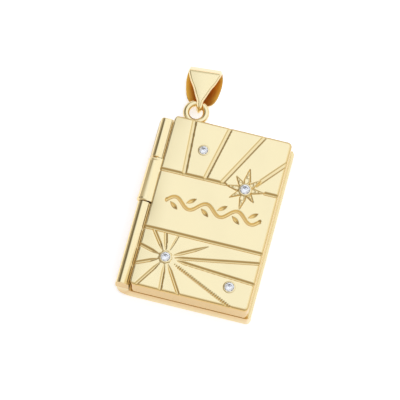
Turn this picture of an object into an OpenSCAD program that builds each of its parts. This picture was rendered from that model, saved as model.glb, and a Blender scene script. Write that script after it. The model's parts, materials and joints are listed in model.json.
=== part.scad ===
// Book locket: a hollow case whose front cover opens like a book, on a ring and a folded bail.
// Millimetres. The locket lies on its back: z = 0 is the case's back face, +Y points to the bail,
// and x = 0, y = 0 is under the middle of the front cover.

/* [Front cover] */
// Width of the front cover
cover_w = 13.2; // [13:0.05:13.4]
// Height of the front cover, foot to head
cover_h = 20; // [19.9:0.1:20.2]
// Height of the cover's face above the case's back face
face_z = 4.53; // [4.5:0.01:4.8]
// Thickness of the cover's face
face_t = 1; // [0.9:0.05:1.1]
// Radius of the cover's corners, seen from the front
cover_r = 0.4; // [0.3:0.05:0.8]
// Rounding along the edge of the face
face_edge_r = 0.28; // [0.2:0.02:0.32]

/* [Back case] */
// Distance from the cover's middle to the case's left side, at the spine
case_left = 8.3; // [8.3:0.05:8.4]
// Distance from the cover's middle to the case's right side
case_right = 6.9; // [6.8:0.05:7]
// Height of the case, foot to head
case_h = 20.1; // [20:0.1:20.4]
// Depth of the case, back face to seam
case_t = 1.85; // [1.85:0.05:2]
// Gap between the case and the closed cover
seam_gap = 0.05; // [0.03:0.01:0.1]
// Thickness of the case's back
back_t = 0.8; // [0.7:0.05:1]
// Thickness of the side walls, also the cover's
wall_t = 0.8; // [0.6:0.05:1]
// Radius of the case's corners, seen from the front
case_r = 0.55; // [0.4:0.05:0.8]
// Radius of the round lower edge of the spine
spine_r = 2.2; // [1.8:0.05:2.2]
// Rounding along the other lower edges
case_edge_r = 0.25; // [0.1:0.05:0.4]
// Height of the ledge that carries the hinge tubes
ledge_z = 2.5; // [2.3:0.05:2.5]
// Distance from the cover's middle to the ledge's side next to the cover
ledge_x = 6.7; // [6.7:0.01:6.75]
// Height of the case's tube webs next to the cover
web_z = 3.75; // [3.4:0.05:3.75]

/* [Hinge] */
// Distance from the cover's middle to the hinge's axis
hinge_x = 7.55; // [7.55:0.01:7.6]
// Height of the hinge's axis
hinge_z = 3.5; // [3.45:0.01:3.55]
// Radius of the case's two hinge tubes
tube_r = 0.64; // [0.62:0.01:0.68]
// Radius of the cover's hinge tube at its upper end
mid_r_head = 0.72; // [0.65:0.01:0.75]
// Radius of the cover's hinge tube at its lower end
mid_r_foot = 0.84; // [0.7:0.01:0.85]
// Upper end of the upper tube
tube_top = 9.6; // [9:0.1:10]
// Upper end of the middle tube
mid_top = 4.87; // [4:0.1:5]
// Lower end of the middle tube
mid_foot = -0.35; // [-1:0.1:0]
// Gap between the ends of the tubes
tube_gap = 0.1; // [0.06:0.01:0.15]
// Radius of the hinge pin
pin_r = 0.35; // [0.3:0.01:0.4]
// Gap all round the hinge pin
pin_gap = 0.04; // [0.02:0.01:0.08]

/* [Engraving] */
// Width of an engraved line
groove_w = 0.42; // [0.3:0.02:0.5]
// Depth of an engraved line
groove_d = 0.2; // [0.1:0.02:0.3]
// Height of the line above the plain band
band_top = 3.65; // [3.4:0.05:3.9]
// Height of the line below the plain band
band_foot = -3.2; // [-3.5:0.05:-3]
// Half the height of the scroll's waves
scroll_a = 0.55; // [0.3:0.05:0.7]
// Waves in the scroll
scroll_waves = 3; // [2:1:4]
// Length of the scroll
scroll_l = 10.4; // [8:0.2:11]
// Height of the raised star and settings above the face
relief_t = 0.13; // [0.08:0.01:0.2]

/* [Ring and bail] */
// Distance from the cover's middle to the hanging ring
ring_x = 4.79; // [3:0.05:5]
// Radius of the hanging ring, to the middle of its wire
ring_r = 1.1; // [1.1:0.02:1.2]
// Radius of the ring's wire
wire_r = 0.37; // [0.32:0.01:0.38]
// Height of the ring and the bail's eye above the case's back face
ring_z = 1.47; // [1.45:0.01:1.48]
// Angle round the ring at which the bail hangs
bail_at = 8; // [0:1:10]
// Angle at which the bail leans over
bail_lean = 5; // [0:1:8]
// Thickness of the bail's strip
strip_t = 0.36; // [0.3:0.02:0.38]

/* [Hidden] */

GOLD = "#EEDCA6";
GOLD_DARK = "#C9A862";
CLEAR = "#E8EEF4";

// Arcs are true circles whatever their $fn; 48 sets how they look in a preview
$fn = 48;
// Overshoot of a cutter past the face that it cuts
past = 0.5;
// Depth to which an added piece is sunk into its base
sunk = 0.3;

cover_z = case_t + seam_gap;
tubes_top_foot = mid_top + tube_gap;
tubes_low_head = mid_foot - tube_gap;
case_foot = -case_h / 2;
case_head = case_h / 2;
// The bore is closed at the locket's foot
bore_foot = case_foot + 0.6;
// The bail's eye, where the ring's wire passes through it
ring_y = case_head + ring_r + 0.7;
eye = [-ring_x + ring_r * sin(bail_at), ring_y + ring_r * cos(bail_at), ring_z];

// Where each stone sits: x, y, diameter, height of its raised setting
STONE_UPPER = [-2.61, 6.74, 1.0, 0];
STONE_STAR = [2.89, 3.42, 1.15, relief_t];
STONE_BURST = [-3.56, -6.2, 1.1, relief_t];
STONE_LOWER = [3.98, -7.78, 1.1, 0];
stone_gap = 0.03;
setting_rim = 0.24;
// A stone's proportions, as parts of its diameter
table_part = 0.56;
crown_part = 0.16;
girdle_part = 0.04;
pavilion_part = 0.42;
// The stone's seat, as parts of its diameter: the ledge's bore and drop, and the well's depth
ledge_part = 0.8;
ledge_drop = 0.13;
well_part = 0.5;

// Lines above the band: x and y of the lower end, x and y of the outer end
UPPER_LINES = [
    [-4.0, band_top, -4.42, 10],
    [-1.65, band_top, -0.36, 10],
    [0.25, band_top, 3.55, 10],
    [3.9, 4.25, 6.6, 7.45],
];
// Lines of the burst: x and y where the line ends, distance of its start
BURST_LINES = [
    [6.6, -4.38, 1.6], [0.89, -3.8, 1.15], [-2.75, -3.2, 1.15], [-4.33, -3.2, 1.15],
    [-5.75, -3.2, 1.15], [-6.6, -5.35, 1.1], [-6.6, -7.55, 1.1], [-6.0, -10, 1.1],
    [-3.25, -10, 1.1], [-1.2, -10, 1.1], [4.75, -10, 1.3], [6.6, -6.85, 1.75],
];
// Points of the star: x and y of the tip, half the point's width
STAR_POINTS = [
    [2.82, 5.8, 0.32], [4.22, 4.8, 0.27], [4.85, 3.52, 0.27], [4.05, 2.27, 0.25],
    [2.8, 1.2, 0.3], [1.5, 2.25, 0.25], [0.85, 3.45, 0.27], [1.65, 4.68, 0.27],
];
// Gap in the line above the band, where the star lies over it
STAR_GAP = [0.55, 5.1];
// Along a point of the star: its widest place, its bead's place, and the bead's size in half widths
point_widest = 0.45;
bead_at = 0.62;
bead_part = 0.55;

// The scroll's middle, its stem's half width, and a leaf's length and half width
SCROLL_AT = [0.1, 0.25];
stem_half = 0.17;
LEAF = [1.25, 0.24];
// Where a leaf starts, in half waves and off the scroll's middle line, and its turn
leaf_at = 0.24;
leaf_off = 0.1;
leaf_turn = 38;

// The bail's strip, in turn from below the ring up the front, over the top and down the back:
// place along the bail, place in depth, half the strip's width
STRIP = [
    [-0.88, 0, 0.3], [-0.62, 0.62, 0.3], [0, 0.88, 0.36], [0.7, 0.97, 0.66],
    [1.5, 1.01, 1.0], [2.25, 1.03, 1.42], [3.0, 1.04, 1.72], [3.25, 1.0, 1.82],
    [3.44, 0.86, 1.85], [3.72, 0.5, 1.86], [4.1, -0.1, 1.87], [4.04, -0.75, 1.92],
    [3.6, -1.12, 2.0], [2.8, -1.23, 2.02], [1.8, -1.22, 1.88], [1.0, -1.16, 1.65],
    [0.4, -1.06, 1.3], [0.08, -0.97, 0.74], [-0.2, -0.88, 0.38], [-0.63, -0.61, 0.3],
];
strip_steps = 3;
// Bevel along the strip's outer edges: its drop, and its width as a part of the strip's half width
strip_bevel = [0.12, 0.21];

function catmull(a, b, c, d, t) =
    0.5 * (2 * b + (c - a) * t + (2 * a - 5 * b + 4 * c - d) * t * t
           + (3 * b - a - 3 * c + d) * t * t * t);

function closed_curve(rows, steps) =
    let (n = len(rows))
    [for (i = [0 : n - 1]) for (s = [0 : steps - 1])
        catmull(rows[(i + n - 1) % n], rows[i], rows[(i + 1) % n], rows[(i + 2) % n], s / steps)];

module rounded_plan(x0, x1, y0, y1, r) {
    translate([x0 + r, y0]) square([x1 - x0 - 2 * r, y1 - y0]);
    translate([x0, y0 + r]) square([x1 - x0, y1 - y0 - 2 * r]);
    for (x = [x0 + r, x1 - r]) for (y = [y0 + r, y1 - r])
        translate([x, y]) circle(r);
}

// A side view whose upper two corners are rounded
module round_topped(x0, x1, z0, z1, r) {
    translate([x0, z0]) square([x1 - x0, z1 - z0 - r]);
    translate([x0 + r, z0]) square([x1 - x0 - 2 * r, z1 - z0]);
    for (x = [x0 + r, x1 - r])
        translate([x, z1 - r]) circle(r);
}

// Draws a side view (x, z) and pulls it along Y
module along_y(y0, y1) {
    translate([0, y1, 0]) rotate([90, 0, 0]) linear_extrude(y1 - y0) children();
}

// Draws a side view (y, z) and pulls it along X
module along_x(x0, x1) {
    translate([x0, 0, 0]) rotate([90, 0, 90]) linear_extrude(x1 - x0) children();
}

// A V-shaped cutter from a to b along the face
module groove(a, b) {
    run = b - a;
    side = groove_w / 2 * (1 + past / groove_d);
    translate([a.x, a.y, face_z]) rotate([90, 0, atan2(run.y, run.x) + 90])
        linear_extrude(norm(run)) polygon([[-side, past], [0, -groove_d], [side, past]]);
}

// Carries a line on past its outer end, clear of the cover's edge
function carried(a, b) = b + past * (b - a) / norm(b - a);

module band_lines() {
    edge = cover_w / 2 + past;
    groove([-edge, band_top], [STAR_GAP[0], band_top]);
    groove([STAR_GAP[1], band_top], [edge, band_top]);
    groove([-edge, band_foot], [edge, band_foot]);
}

module upper_lines() {
    for (l = UPPER_LINES) {
        a = [l[0], l[1]];
        groove(a, carried(a, [l[2], l[3]]));
    }
}

module burst_lines() {
    middle = [STONE_BURST.x, STONE_BURST.y];
    for (l = BURST_LINES) {
        end = [l[0], l[1]];
        away = (end - middle) / norm(end - middle);
        at_edge = abs(end.x) > 6.5 || end.y < -9.9;
        groove(middle + l[2] * away, at_edge ? carried(middle, end) : end);
    }
}

// One pointed leaf, from its base at the origin along +X
module leaf(length, half) {
    n = 8;
    polygon(concat(
        [for (i = [0 : n]) [length * i / n, half * sin(180 * i / n)]],
        [for (i = [n - 1 : -1 : 1]) [length * i / n, -half * sin(180 * i / n)]]));
}

// A plain running scroll with a leaf in each half wave
module scroll() {
    steps = 16 * scroll_waves;
    stem = [for (i = [0 : steps])
        [scroll_l * (i / steps - 0.5), scroll_a * sin(360 * scroll_waves * i / steps)]];
    half_wave = scroll_l / scroll_waves / 2;
    translate([SCROLL_AT.x, SCROLL_AT.y, face_z - groove_d]) linear_extrude(groove_d + past) {
        polygon(concat(
            [for (i = [0 : steps]) stem[i] + [0, stem_half]],
            [for (i = [steps : -1 : 0]) stem[i] - [0, stem_half]]));
        for (i = [0 : 2 * scroll_waves - 1]) {
            down = i % 2 == 0 ? -1 : 1;
            translate([half_wave * (i + leaf_at) - scroll_l / 2, down * leaf_off])
                rotate(down * leaf_turn) leaf(LEAF[0], LEAF[1]);
        }
    }
}

module star() {
    middle = [STONE_STAR.x, STONE_STAR.y];
    for (p = STAR_POINTS) {
        tip = [p[0], p[1]] - middle;
        reach = norm(tip);
        half = p[2];
        translate([middle.x, middle.y, 0]) rotate(atan2(tip.y, tip.x)) {
            translate([0, 0, face_z - sunk]) linear_extrude(sunk + relief_t)
                polygon([[0, 0], [reach * point_widest, half], [reach, 0], [reach * point_widest, -half]]);
            translate([reach * bead_at, 0, face_z + relief_t - bead_part * half / 2])
                sphere(bead_part * half);
        }
    }
}

module setting(at) {
    translate([at[0], at[1], face_z - sunk])
        cylinder(r = at[2] / 2 + setting_rim, h = sunk + at[3]);
}

// The height of a stone's widest part
function girdle_z(at) = face_z + at[3] - girdle_part * at[2];

// The hole for a stone: a bore down to a ledge that carries it, and a smaller well for its point
module seat(at) {
    translate([at[0], at[1], girdle_z(at)]) {
        translate([0, 0, -ledge_drop * at[2]])
            cylinder(r = at[2] / 2 + stone_gap, h = ledge_drop * at[2] + past);
        translate([0, 0, -well_part * at[2]])
            cylinder(r = at[2] / 2 * ledge_part, h = well_part * at[2]);
    }
}

// A cut stone: an eight-sided table, a crown of triangles and kites, and a pointed pavilion
module stone(at) {
    d = at[2];
    thin = 0.01;
    color(CLEAR) translate([at[0], at[1], girdle_z(at)]) hull() {
        cylinder(d = d, h = girdle_part * d, $fn = 16);
        rotate(22.5) translate([0, 0, (crown_part + girdle_part) * d - thin])
            cylinder(d = d * table_part, h = thin, $fn = 8);
        rotate(22.5) translate([0, 0, -pavilion_part * d]) cylinder(d = 0.06 * d, h = thin, $fn = 8);
    }
}

module hinge_bore(y0, y1) {
    along_y(y0, y1) translate([-hinge_x, hinge_z]) circle(pin_r + pin_gap);
}

// One of the case's hinge tubes on the web that stands on the ledge
module case_tube(y0, y1) {
    along_y(y0, y1) {
        translate([-hinge_x, hinge_z]) circle(tube_r);
        translate([-hinge_x - tube_r, ledge_z - sunk]) square([2 * tube_r, hinge_z - ledge_z + sunk]);
        translate([-hinge_x, ledge_z - sunk]) square([hinge_x - ledge_x, web_z - ledge_z + sunk]);
    }
}

module case_shell() {
    intersection() {
        linear_extrude(ledge_z) rounded_plan(-case_left, case_right, case_foot, case_head, case_r);
        along_y(case_foot, case_head) {
            intersection() {
                translate([spine_r - case_left, spine_r]) circle(spine_r);
                translate([-case_left, 0]) square([spine_r, case_t]);
            }
            intersection() {
                translate([spine_r - case_left, spine_r]) circle(spine_r);
                translate([-case_left, 0]) square([case_left - ledge_x, spine_r]);
            }
            translate([-case_left, spine_r]) square([case_left - ledge_x, ledge_z - spine_r]);
            translate([spine_r - case_left, 0])
                square([case_right + case_left - spine_r - case_edge_r, case_t]);
            translate([case_right - case_edge_r, case_edge_r]) circle(case_edge_r);
            translate([case_right - 2 * case_edge_r, case_edge_r])
                square([2 * case_edge_r, case_t - case_edge_r]);
        }
        along_x(-case_left, case_right) mirror([0, 1])
            round_topped(case_foot, case_head, -ledge_z, 0, case_edge_r);
    }
}

module hanging_ring() {
    translate([-ring_x, ring_y, ring_z]) {
        rotate_extrude() translate([ring_r, 0]) circle(wire_r);
        along_y(case_head - sunk - ring_y, -ring_r) circle(wire_r);
    }
}

module back_case() {
    color(GOLD) {
        difference() {
            union() {
                case_shell();
                case_tube(case_foot, tubes_low_head);
                case_tube(tubes_top_foot, tube_top);
            }
            translate([0, 0, back_t]) linear_extrude(ledge_z)
                rounded_plan(wall_t - cover_w / 2, cover_w / 2 - wall_t,
                             wall_t - cover_h / 2, cover_h / 2 - wall_t, cover_r);
            hinge_bore(bore_foot, case_head + past);
        }
        hanging_ring();
    }
}

module cover_shell() {
    x1 = cover_w / 2;
    y1 = cover_h / 2;
    intersection() {
        translate([0, 0, cover_z]) linear_extrude(face_z - cover_z)
            rounded_plan(-x1, x1, -y1, y1, cover_r);
        along_y(-y1, y1) round_topped(-x1, x1, cover_z, face_z, face_edge_r);
        along_x(-x1, x1) round_topped(-y1, y1, cover_z, face_z, face_edge_r);
    }
}

// The cover's hinge tube, a little wider towards the foot, and its web to the cover's side
module cover_tube() {
    translate([-hinge_x, mid_foot, hinge_z]) rotate([-90, 0, 0])
        cylinder(r1 = mid_r_foot, r2 = mid_r_head, h = mid_top - mid_foot);
    along_y(mid_foot, mid_top) translate([-hinge_x, hinge_z - 0.5])
        square([hinge_x - cover_w / 2 + sunk, tube_r + 0.5]);
}

module front_cover() {
    stones = [STONE_UPPER, STONE_STAR, STONE_BURST, STONE_LOWER];
    color(GOLD) difference() {
        union() {
            difference() {
                cover_shell();
                translate([0, 0, cover_z - past]) linear_extrude(face_z - face_t - cover_z + past)
                    rounded_plan(wall_t - cover_w / 2, cover_w / 2 - wall_t,
                                 wall_t - cover_h / 2, cover_h / 2 - wall_t, cover_r);
                band_lines();
                upper_lines();
                burst_lines();
                scroll();
            }
            cover_tube();
            star();
            setting(STONE_STAR);
            setting(STONE_BURST);
        }
        hinge_bore(mid_foot - past, mid_top + past);
        for (at = stones)
            seat(at);
    }
}

module hinge_pin() {
    color(GOLD_DARK) along_y(bore_foot + pin_gap, tube_top - tube_gap)
        translate([-hinge_x, hinge_z]) circle(pin_r);
}

// The strip's cross-section at one place of its loop, bevelled along its outer edges
function strip_ring(before, at, after) =
    let (run = [after[0] - before[0], after[1] - before[1]],
         out = [-run[1], run[0]] / norm(run),
         half = at[2],
         inner = -strip_t / 2,
         outer = strip_t / 2)
    [for (p = [[-half, inner], [half, inner], [half, outer - strip_bevel[0]],
               [half * (1 - strip_bevel[1]), outer], [half * (strip_bevel[1] - 1), outer],
               [-half, outer - strip_bevel[0]]])
        [p[0], at[0] + out[0] * p[1], at[1] + out[1] * p[1]]];

module bail() {
    way = closed_curve(STRIP, strip_steps);
    n = len(way);
    sides = 6;
    points = [for (i = [0 : n - 1]) each strip_ring(way[(i + n - 1) % n], way[i], way[(i + 1) % n])];
    faces = [for (i = [0 : n - 1]) for (j = [0 : sides - 1])
        [i * sides + j, i * sides + (j + 1) % sides,
         (i + 1) % n * sides + (j + 1) % sides, (i + 1) % n * sides + j]];
    color(GOLD) translate(eye) rotate(bail_lean) polyhedron(points, faces, convexity = 6);
}

module stone_upper() { stone(STONE_UPPER); }
module stone_star() { stone(STONE_STAR); }
module stone_burst() { stone(STONE_BURST); }
module stone_lower() { stone(STONE_LOWER); }

back_case();
front_cover();
hinge_pin();
bail();
stone_upper();
stone_star();
stone_burst();
stone_lower();
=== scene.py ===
"""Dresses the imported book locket: plated metal, engraving, folded bail and cut stones."""

import json
import math

import bmesh
import bpy
import numpy as np
from bpy.props import FloatProperty, FloatVectorProperty, IntProperty, PointerProperty
from mathutils import Matrix, Vector


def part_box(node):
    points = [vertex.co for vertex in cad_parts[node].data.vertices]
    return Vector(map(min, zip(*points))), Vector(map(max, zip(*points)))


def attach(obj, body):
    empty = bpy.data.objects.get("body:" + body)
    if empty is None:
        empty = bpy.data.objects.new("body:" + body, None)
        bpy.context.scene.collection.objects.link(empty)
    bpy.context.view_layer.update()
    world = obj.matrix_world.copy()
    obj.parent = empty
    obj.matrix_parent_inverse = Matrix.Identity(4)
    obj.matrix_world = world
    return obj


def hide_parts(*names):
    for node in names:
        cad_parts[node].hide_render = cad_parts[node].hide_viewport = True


bl_info = {
    "name": "Book Locket",
    "version": (1, 0, 0),
    "blender": (4, 5, 0),
    "location": "3D View > Sidebar > Locket",
    "description": "Makes the visible pieces of a book locket around its packed solids",
    "category": "Object",
}

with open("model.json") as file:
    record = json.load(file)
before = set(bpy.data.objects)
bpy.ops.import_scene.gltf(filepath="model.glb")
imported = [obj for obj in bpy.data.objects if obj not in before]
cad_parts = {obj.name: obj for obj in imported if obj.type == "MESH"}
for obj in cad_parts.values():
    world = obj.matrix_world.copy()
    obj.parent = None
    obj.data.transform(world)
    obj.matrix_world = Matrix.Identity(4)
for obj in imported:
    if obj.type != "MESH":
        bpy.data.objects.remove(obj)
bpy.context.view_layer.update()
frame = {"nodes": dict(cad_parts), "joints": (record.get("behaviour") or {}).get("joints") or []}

# The shapes are made in millimetres and turned to metres when a piece is finished
MM = 0.001


def joint_place(name):
    """A joint's place in millimetres."""
    joint = next(j for j in frame["joints"] if j["name"] == name)
    return Vector(joint["pos_m"]) / MM


def node_box(name):
    """A CAD node's lowest and highest corner in millimetres."""
    low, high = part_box(name)
    return low / MM, high / MM


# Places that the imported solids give, in millimetres
HINGE = joint_place("cover_hinge")
EYE = joint_place("bail_swing")
COVER_LOW = node_box("front_cover")[0].z
COVER_RIGHT = node_box("front_cover")[1].x
COVER_HEAD = node_box("front_cover")[1].y
CASE_RIGHT = node_box("back_case")[1].x
CASE_LEFT = node_box("back_case")[0].x
CASE_FOOT = node_box("back_case")[0].y

# Case, in millimetres; its ledge carries the hinge's tubes
CASE_TOP = 1.85
LEDGE_TOP = 2.5
LEDGE_RIGHT = -6.7
WALL = 0.8
BACK_WALL = 0.8
SPINE_ROUND = 2.15
CASE_EDGE_ROUND = 0.22
CASE_END_ROUND = 0.14
CASE_CORNER = 0.55
# Half the hollow's width and height, the same in both halves, and the roundings of the case's
HOLLOW_X = COVER_RIGHT - WALL
HOLLOW_Y = COVER_HEAD - WALL
HOLLOW_CORNER = 0.4
HOLLOW_FLOOR_ROUND = 0.15
# The hollow's ceiling in the cover, and the rounding of the cover's edge at the spine
CEILING = 3.53
SPINE_EDGE_ROUND = 0.1

# How much painted shade each place gets, a deeper colour that stands in for shade and dark
# reflections: the face's rounded edges, the side walls and the channels' walls, less on the
# opening side, the floors of the channels and the star's cut outlines
EDGE_PAINTED_SHADE = 0.9
WALL_PAINTED_SHADE = 0.9
OPENING_PAINTED_SHADE = 0.2
FLOOR_PAINTED_SHADE = 0.35
STAR_PAINTED_SHADE = 0.9
# Width in millimetres of the patches in which the plating's polish is a little hazier
HAZE_PATCH = 1.8

# Hinge, in millimetres: the case's tubes, each with its radius, its foot and head, and where the
# bore for the pin starts
CASE_TUBES = {
    "hinge_tube_low": (0.64, -10.05, -0.4, -9.45),
    "hinge_tube_top": (0.57, 4.92, 9.6, 4.92),
}
TUBE_END_ROUND = 0.16
PIN_BORE = 0.39
# Where the tubes' webs leave the tubes, as a part of the radius, and their side view to the cover
WEB_FROM = 0.915
WEB_WAY = ((-6.9, 3.92), (-6.86, 3.74), (LEDGE_RIGHT, 3.7))
# The middle tube's foot and head, and its radii near them
MIDDLE_TUBE = (-0.35, 4.87)
MIDDLE_RADII = (0.84, 0.72)
# The middle tube's web: its slope, where it ends inside the cover's wall, and the height of its
# underside at the tube and at the cover
WEB_TILT = math.radians(15)
WEB_INNER = -6.55
WEB_UNDERSIDE = (3.4, 3.05)

# Ring and its foot, in millimetres
RING_MIDDLE = Vector((-4.79, 11.85, 1.47))
RING_RADIUS = 1.1

# The face's grid in millimetres: its spacing, and the step in height past which that is halved
GRID_SPACING = 0.082
GRID_STEP = 0.006

# Engraved lines in millimetres: the plain band's edges, and where its upper line stops for the
# star
BAND_TOP = 3.65
BAND_FOOT = -3.2
STAR_GAP = (0.55, 5.1)
# The ends of each line above the band
UPPER_LINES = (
    ((-4.0, BAND_TOP), (-4.42, COVER_HEAD)),
    ((-1.65, BAND_TOP), (-0.36, COVER_HEAD)),
    ((0.25, BAND_TOP), (3.55, COVER_HEAD)),
    ((3.9, 4.25), (COVER_RIGHT, 7.45)),
)
# Across the lines of the face, in millimetres: where the cut starts, reaches its floor, leaves
# it and ends, from the left of a line that runs up and from above one that runs across
UPPER_CUT = (-0.33, -0.08, 0.12, 0.28)
BAND_CUT = (-0.18, 0.12, 0.17, 0.33)
BURST_CUT = (-0.23, 0.05, 0.1, 0.25)
# Depth of the band's and the upper lines, as a part of the line depth
BAND_DEPTH = 1.05
UPPER_DEPTH = 0.7
# How far lines run on past the face's edge, and how far the burst's lines stop short of the band
LINE_OVERRUN = 0.5
BAND_STOP = 0.25
# Burst: where each line ends, and how far from the stone it starts
BURST_LINES = (
    (COVER_RIGHT, -4.38, 0.92),
    (0.7, -3.83, 0.85),
    (-2.75, BAND_FOOT, 0.85),
    (-4.33, BAND_FOOT, 0.8),
    (-5.75, BAND_FOOT, 0.8),
    (-COVER_RIGHT, -5.35, 0.75),
    (-COVER_RIGHT, -7.55, 0.75),
    (-6.0, -COVER_HEAD, 0.8),
    (-3.25, -COVER_HEAD, 0.75),
    (-1.2, -COVER_HEAD, 0.8),
    (4.75, -COVER_HEAD, 1.0),
    (COVER_RIGHT, -6.85, 1.25),
)
# The one line of the burst that is filled with a row of fine beads
MILGRAIN_LINE = 10
MILGRAIN_PITCH = 0.27
# The one line of the burst that is cut lightly, and the part of the others' size that it has
FAINT_LINE = 2
FAINT_STRENGTH = 0.6
# Length over which a line of the burst grows from a point to its full size
LINE_TAPER = 0.9
# Length over which the one line that ends inside the face fades out
LINE_FADE = 1.6
# Points of the star in millimetres: the tip and half the point's width
STAR_POINTS = (
    (2.82, 5.8, 0.32),
    (4.22, 4.8, 0.27),
    (4.85, 3.52, 0.27),
    (4.05, 2.27, 0.25),
    (2.8, 1.2, 0.3),
    (1.5, 2.25, 0.25),
    (0.85, 3.45, 0.27),
    (1.65, 4.68, 0.27),
)
# Along a point of the star, as a part of its length: where it is widest, and where its beads are,
# each with its size as a part of the point's half width
POINT_WIDEST = 0.45
POINT_BEADS = ((0.62, 0.6), (0.82, 0.42))
# The points' relief in millimetres: their rims, how far they sink inside the rims, their beads'
# tops and the depth of their cut outlines
POINT_RIM = 0.08
POINT_SINK = 0.06
POINT_BEAD_TOP = 0.13
POINT_OUTLINE = 0.05
# Small lobes of metal round the raised settings
SETTING_LOBES = 9
SETTING_LOBE_HEIGHT = 0.05

# The stones, and the two of them whose settings are raised
STONES = ("stone_upper", "stone_star", "stone_burst", "stone_lower")
RAISED_STONES = ("stone_star", "stone_burst")
# Depth of the widest part of a stone under its table, as a part of its diameter
GIRDLE_DROP = 0.2
# The part of a stone's radius past which its facets are left as ground, in a grey that is
# partly the ground girdle's own and partly painted shade for the stone's dark rim
GROUND_AND_SHADE_PART = 0.86
CRYSTAL_IOR = 2.15

# Running scroll in the plain band, in millimetres; its depth is a part of the line depth
SCROLL_MIDDLE = (0.1, 0.25)
SCROLL_LENGTH = 10.4
SCROLL_HEIGHT = 0.55
SCROLL_WAVES = 3
SCROLL_DEPTH = 1.3
STEM_HALF = 0.2
# Its leaves: size, place along a half wave, distance from the middle line and turn
LEAF_LENGTH = 1.25
LEAF_HALF = 0.27
LEAF_AT = 0.24
LEAF_OFF = 0.1
LEAF_TURN = math.radians(38)

# The bail's strip: place along the bail, place in depth, half the strip's width, in millimetres
STRIP = (
    (-0.88, 0.0, 0.3),
    (-0.62, 0.62, 0.3),
    (0.0, 0.88, 0.36),
    (0.7, 0.97, 0.66),
    (1.5, 1.01, 1.0),
    (2.25, 1.03, 1.42),
    (3.0, 1.04, 1.72),
    (3.25, 1.0, 1.82),
    (3.44, 0.86, 1.85),
    (3.72, 0.5, 1.86),
    (4.1, -0.1, 1.87),
    (4.04, -0.75, 1.92),
    (3.6, -1.12, 2.0),
    (2.8, -1.23, 2.02),
    (1.8, -1.22, 1.88),
    (1.0, -1.16, 1.65),
    (0.4, -1.06, 1.3),
    (0.08, -0.97, 0.74),
    (-0.2, -0.88, 0.38),
    (-0.63, -0.61, 0.3),
)
# The bevel along the strip's outer edges, in millimetres: its drop and width where the strip is
# widest, how much both grow as the strip narrows to nothing, and the least flat left between
STRIP_BEVEL = (0.2, 0.19, 0.09, 0.045)
STRIP_WIDEST = max(row[2] for row in STRIP)
# The bail's turn from the locket's upright
BAIL_LEAN = math.radians(5)

# The studio's light: where the soft box is brightest, the lowest height that its stops start
# from, and its stops from low to high
BOX_WAY = (0.5, 0.38, 1.0)
BOX_LOWEST = -0.4
BOX_STOPS = (
    (0.0, (0.36, 0.33, 0.28)),
    (0.071, (0.4, 0.37, 0.32)),
    (0.214, (0.53, 0.51, 0.46)),
    (0.389, (0.58, 0.57, 0.54)),
    (0.602, (0.66, 0.67, 0.68)),
    (0.714, (0.76, 0.82, 0.9)),
    (0.8, (0.88, 0.97, 1.12)),
    (0.9, (1.09, 1.24, 1.53)),
    (1.0, (1.12, 1.24, 1.45)),
)
# A dark flag that gives the tubes their lines: where it hangs, and its stops to its middle
FLAG_WAY = (-0.6, 0.31, 0.737)
FLAG_STOPS = (
    (0.92, (1, 1, 1)),
    (0.955, (0.48, 0.46, 0.42)),
    (0.985, (0.27, 0.25, 0.2)),
)
# Light that the paper under the locket gives off
FLOOR_GLOW = 0.48

# The photograph's viewpoint: turn round the locket, height angle and distance in metres
VIEW_TURN = math.radians(14.4044)
VIEW_HEIGHT = math.radians(71.1009)
VIEW_DISTANCE = 0.5
# Where the picture's middle lies, in millimetres to the right of and above the origin
VIEW_AIM = (-1.257, 2.838)
# The lens and the sensor's width, in millimetres
LENS = 410.75
SENSOR = 36.0


def linear(hex_code):
    """An sRGB hex colour as the linear values that a shader takes."""
    parts = [int(hex_code[i : i + 2], 16) / 255 for i in (1, 3, 5)]
    return tuple(c / 12.92 if c <= 0.04045 else ((c + 0.055) / 1.055) ** 2.4 for c in parts)


class LocketSizes(bpy.types.PropertyGroup):
    """Sizes of the details that the solids don't show."""

    face_height: FloatProperty(
        name="Face height",
        description="Height of the cover's face above the case's back",
        default=4.53 * MM,
        unit="LENGTH",
    )
    cover_corner: FloatProperty(
        name="Cover corner",
        description="Radius of the cover's corners, seen from the front",
        default=0.5 * MM,
        unit="LENGTH",
    )
    face_round: FloatProperty(
        name="Face edge",
        description="Rounding along the edge of the cover's face",
        default=0.28 * MM,
        unit="LENGTH",
    )
    line_depth: FloatProperty(
        name="Line depth",
        description="Depth of an engraved line",
        default=0.19 * MM,
        unit="LENGTH",
    )
    bead_width: FloatProperty(
        name="Bead width",
        description="Width of the fine beads in the one beaded line",
        default=0.391 * MM,
        unit="LENGTH",
    )
    relief: FloatProperty(
        name="Relief",
        description="Height of the raised settings above the face",
        default=0.13 * MM,
        unit="LENGTH",
    )
    ring_wire: FloatProperty(
        name="Ring wire",
        description="Radius of the hanging ring's wire",
        default=0.37 * MM,
        unit="LENGTH",
    )
    strip_thickness: FloatProperty(
        name="Strip thickness",
        description="Thickness of the bail's strip",
        default=0.36 * MM,
        unit="LENGTH",
    )
    strip_steps: IntProperty(
        name="Strip steps",
        description="Sections of the bail between two of its set places",
        default=8,
        min=4,
        max=12,
    )


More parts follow.
